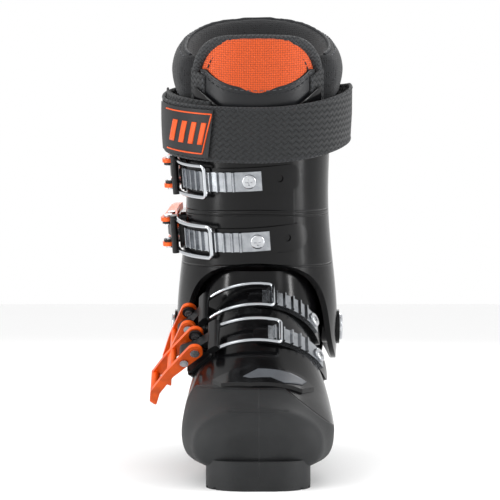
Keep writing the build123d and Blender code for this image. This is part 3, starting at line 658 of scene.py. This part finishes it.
# ---------------------------------------------------------------- side tabs that tie the tongue to the liner
for side, word in ((-1, "outer"), (1, "inner")):
    tab = sheet_on_tongue(f"tongue_side_tab_{word}", lambda u: 166.0, lambda u: 197.0 + (abs(u) - 40) * 0.5,
                          5.0, 2.1, 1.6, WEBBING, 12, 16, side * 42.5)
    seat(tab, "cuff", "tongue")
    row = [on_tongue(side * 39.3, 170 + 26.0 * i / 20, 3.0) for i in range(21)]
    seat(stitches(f"tongue_side_tab_{word}_stitching", sample(row), THREAD), "cuff", "tongue")
    wing = sheet_on_tongue(f"tongue_wing_{word}", lambda u: 166.0,
                           lambda u: 188.0 - max(0.0, 44 - abs(u)) * 0.75,
                           9.5, 4.6, 1.6, BEZEL, 20, 16, side * 36.0)
    seat(wing, "cuff", "tongue")


# ---------------------------------------------------------------- power strap
STRAP_HEIGHT = 156                   # its middle line above the hinge line, along the cuff, mm


def strap_point(turn, h, out):
    """Place on the strap: turn 90 degrees is the front, h from its middle and out from its inner face, mm."""
    ahead = sin(turn)
    bend = 2 / (2.2 if ahead >= 0 else 2.25)
    b, f = 87.6 + out + 3.0 * h / 40, -62.4 - out
    along = 0.52 + power(ahead, bend) * (0.48 if ahead >= 0 else 0.52)
    half = 67.5 + out + min(1.0, (h + 20) / 20)
    return half * power(cos(turn), bend), b + (f - b) * along, STRAP_HEIGHT + h


def strap_lift(u, v):
    """How far the strap climbs on the inner side of the leg."""
    return 7.0 * max(0.0, u / 68.0) ** 2 * max(0.0, min(1.0, (75.0 - v) / 55.0))


def band(name, turns, heights, out, thick, mat, lift=strap_lift, closed=True):
    """Webbing round the leg: turns and heights are lists."""
    verts, faces = [], []
    for h in heights:
        for turn in turns:
            u, v, height = strap_point(turn, h, out)
            verts.append(place(u, v, height + lift(u, v)))
    n, rows = len(turns), len(heights)
    for j in range(rows - 1):
        for i in range(n if closed else n - 1):
            a, b = j * n + i, j * n + (i + 1) % n
            faces.append((a, b, b + n, a + n))
    piece = fresh_mesh(name, verts, faces, mat)
    apply(piece, "SOLIDIFY", thickness=thick * MM, offset=0.0)
    outward(piece)
    apply(piece, "BEVEL", width=thick * 0.3 * MM, segments=2, limit_method="ANGLE", angle_limit=radians(50))
    smooth(piece)
    return piece


ROUND = [2 * pi * i / 240 for i in range(240)]
strap = band("power_strap_webbing", ROUND, [-19.6 + 39.2 * j / 14 for j in range(15)], 1.2, 2.0, WEBBING)
seat(strap, "cuff", "strap", "power_strap")
for level, word in ((-18.8, "lower"), (18.8, "upper")):
    selvedge = []
    for turn in ROUND:
        u, v, height = strap_point(turn, level, 1.2)
        selvedge.append(place(u, v, height + strap_lift(u, v)))
    seat(tube(f"power_strap_selvedge_{word}", selvedge, 1.35 * MM, BRAID, closed=True, sides=12), "cuff", "strap")

end_turns = [radians(118 + 62 * i / 40) for i in range(41)]
strap_end = band("power_strap_end", end_turns, [2.0 + 1.7 * j for j in range(13)], -1.9, 1.8, WEBBING,
                 lambda u, v: 3.0 * max(0.0, -u / 68.0) ** 3, False)
seat(strap_end, "cuff", "strap")

dress(["strap_label"], LABEL)


# ---------------------------------------------------------------- label border and slanted bars
def label_point(u, h, out=4.0):
    half = 67.5 + out + 1
    return place(*strap_point(acos(-min(1.0, abs(u) / half) ** 1.1), h, out))


frame_line = [(-66.5 + 1.15 * i, -14.5) for i in range(24)]
frame_line += [(-40.0 + 0.72 * i, -14.5 + 2.9 * i) for i in range(1, 11)]
frame_line += [(-32.8 - 1.15 * i, 14.5) for i in range(1, 30)]
border_line = cling([label_point(u, h) for u, h in frame_line], nodes["strap_label"], 0.1)
seat(tube("strap_label_border", border_line, 0.55 * MM, ORANGE_RUBBER), "cuff", "label")
bars = []
for k in range(4):
    verts, faces = [], []
    for j in range(9):
        for i in range(5):
            h = -8 + 16 * j / 8
            verts.append(label_point(-64.5 + 7.0 * k + 3.6 * i / 4 + (h + 8) * 0.22, h, 4.05))
    for j in range(8):
        for i in range(4):
            a = j * 5 + i
            faces.append((a, a + 1, a + 6, a + 5))
    bar = fresh_mesh("label_bar", verts, faces, ORANGE_RUBBER)
    apply(bar, "SOLIDIFY", thickness=0.5 * MM, offset=0.0)
    outward(bar)
    bars.append(bar)
seat(join(bars, "strap_label_bars"), "cuff", "label")


# ---------------------------------------------------------------- overlapping front edge of the cuff
def overlap_panel():
    """Thin wedge of the cuff's outer flap: flush in the middle of the front, and a step at its free edge."""
    verts, faces = [], []
    columns, rows = 24, 44
    for j in range(rows + 1):
        h = 70 + (170 - 70) * j / rows
        r, centre = cuff_ring(h)
        for i in range(columns + 1):
            angle = radians(-4 + 33.5 * i / columns)
            out = r - 1.2 + 2.3 * (i / columns) ** 0.8
            verts.append(place(out * sin(angle), centre - out * cos(angle), h))
    for j in range(rows):
        for i in range(columns):
            a = j * (columns + 1) + i
            faces.append((a, a + 1, a + columns + 2, a + columns + 1))
    piece = fresh_mesh("cuff_overlap_edge", verts, faces, CUFF)
    apply(piece, "SOLIDIFY", thickness=1.6 * MM, offset=-1.0)
    outward(piece)
    apply(piece, "BEVEL", width=0.35 * MM, segments=2, limit_method="ANGLE", angle_limit=radians(50))
    smooth(piece)
    return piece


seat(overlap_panel(), "cuff", "cuff")


# ---------------------------------------------------------------- grey inlay in the toe trim plate
# plan of the inlay, x and y in mm
INLAY_PLAN = [(-10, -91), (0, -83), (22, -82.5), (33, -85.5),
              (30, -92), (18, -96.5), (9, -92), (-5, -93.5)]


def plan_plate(name, outline, mat, above_skin, thick):
    """Plate of a plan outline, laid on the toe trim plate from above."""
    work = bmesh.new()
    ring = [work.verts.new((x * MM, y * MM, 0.09)) for x, y in outline]
    work.faces.new(ring)
    for _ in range(4):
        bmesh.ops.subdivide_edges(work, edges=work.edges, cuts=1, use_grid_fill=True)
        bmesh.ops.triangulate(work, faces=work.faces)
    down = Vector((0, 0, -1))
    for vertex in work.verts:
        hit, where, normal, face = nodes["toe_plate"].ray_cast(Vector((vertex.co.x, vertex.co.y, 0.2)), down)
        vertex.co.z = where.z + above_skin * MM if hit else 0.07
    mesh = bpy.data.meshes.new(name)
    work.to_mesh(mesh)
    work.free()
    piece = bpy.data.objects.new(name, mesh)
    bpy.context.scene.collection.objects.link(piece)
    mesh.materials.append(mat)
    apply(piece, "SOLIDIFY", thickness=thick * MM, offset=0.0)
    outward(piece)
    smooth(piece)
    return piece


seat(plan_plate("toe_plate_inlay", INLAY_PLAN, INLAY, 0.25, 0.7), "lower_shell", "trim")


# ---------------------------------------------------------------- stage, light and camera
def area_light(name, at, target, size, power, size_y=None):
    data = bpy.data.lights.new(name, "AREA")
    data.shape = "RECTANGLE"
    data.size, data.size_y, data.energy = size, size_y or size, power
    lamp = bpy.data.objects.new(name, data)
    lamp.location = at
    lamp.rotation_euler = (Vector(target) - Vector(at)).to_track_quat("-Z", "Y").to_euler()
    bpy.context.scene.collection.objects.link(lamp)


bpy.ops.object.select_all(action="DESELECT")
FLOOR_MAT = start("matt_white_paper", "#f7f7f7", 0.9)[0]
FLOOR_CORNERS = [(-4, -4, 0), (4, -4, 0), (4, 4, 0), (-4, 4, 0)]
floor = fresh_mesh("floor", FLOOR_CORNERS, [(0, 1, 2, 3)], FLOOR_MAT, False)

world = bpy.data.worlds.new("studio")
bpy.context.scene.world = world
world.use_nodes = True
world.node_tree.nodes["Background"].inputs["Color"].default_value = (1, 1, 1, 1)
world.node_tree.nodes["Background"].inputs["Strength"].default_value = 1.0
MIDDLE = (0, 0, 0.17)
area_light("key_softbox", (-0.8, -1.0, 1.2), MIDDLE, 0.5, 3.2, 0.7)
area_light("fill_softbox", (1.0, -0.9, 0.7), MIDDLE, 0.3, 1.6, 0.9)
area_light("strip_left", (-0.9, -0.35, 0.3), MIDDLE, 0.10, 6, 0.9)
area_light("strip_right", (0.9, -0.25, 0.3), MIDDLE, 0.10, 6, 0.9)
area_light("rear_softbox", (0.2, 1.3, 1.0), MIDDLE, 0.8, 5, 0.6)

camera_data = bpy.data.cameras.new("camera")
camera = bpy.data.objects.new("camera", camera_data)
bpy.context.scene.collection.objects.link(camera)
camera_data.sensor_width = 36
camera_data.lens = 133.9
camera.location = (-0.0054, -1.353, 0.156)
camera.rotation_euler = (radians(90), 0, 0)
bpy.context.scene.camera = camera
bpy.context.scene.view_settings.view_transform = "Standard"
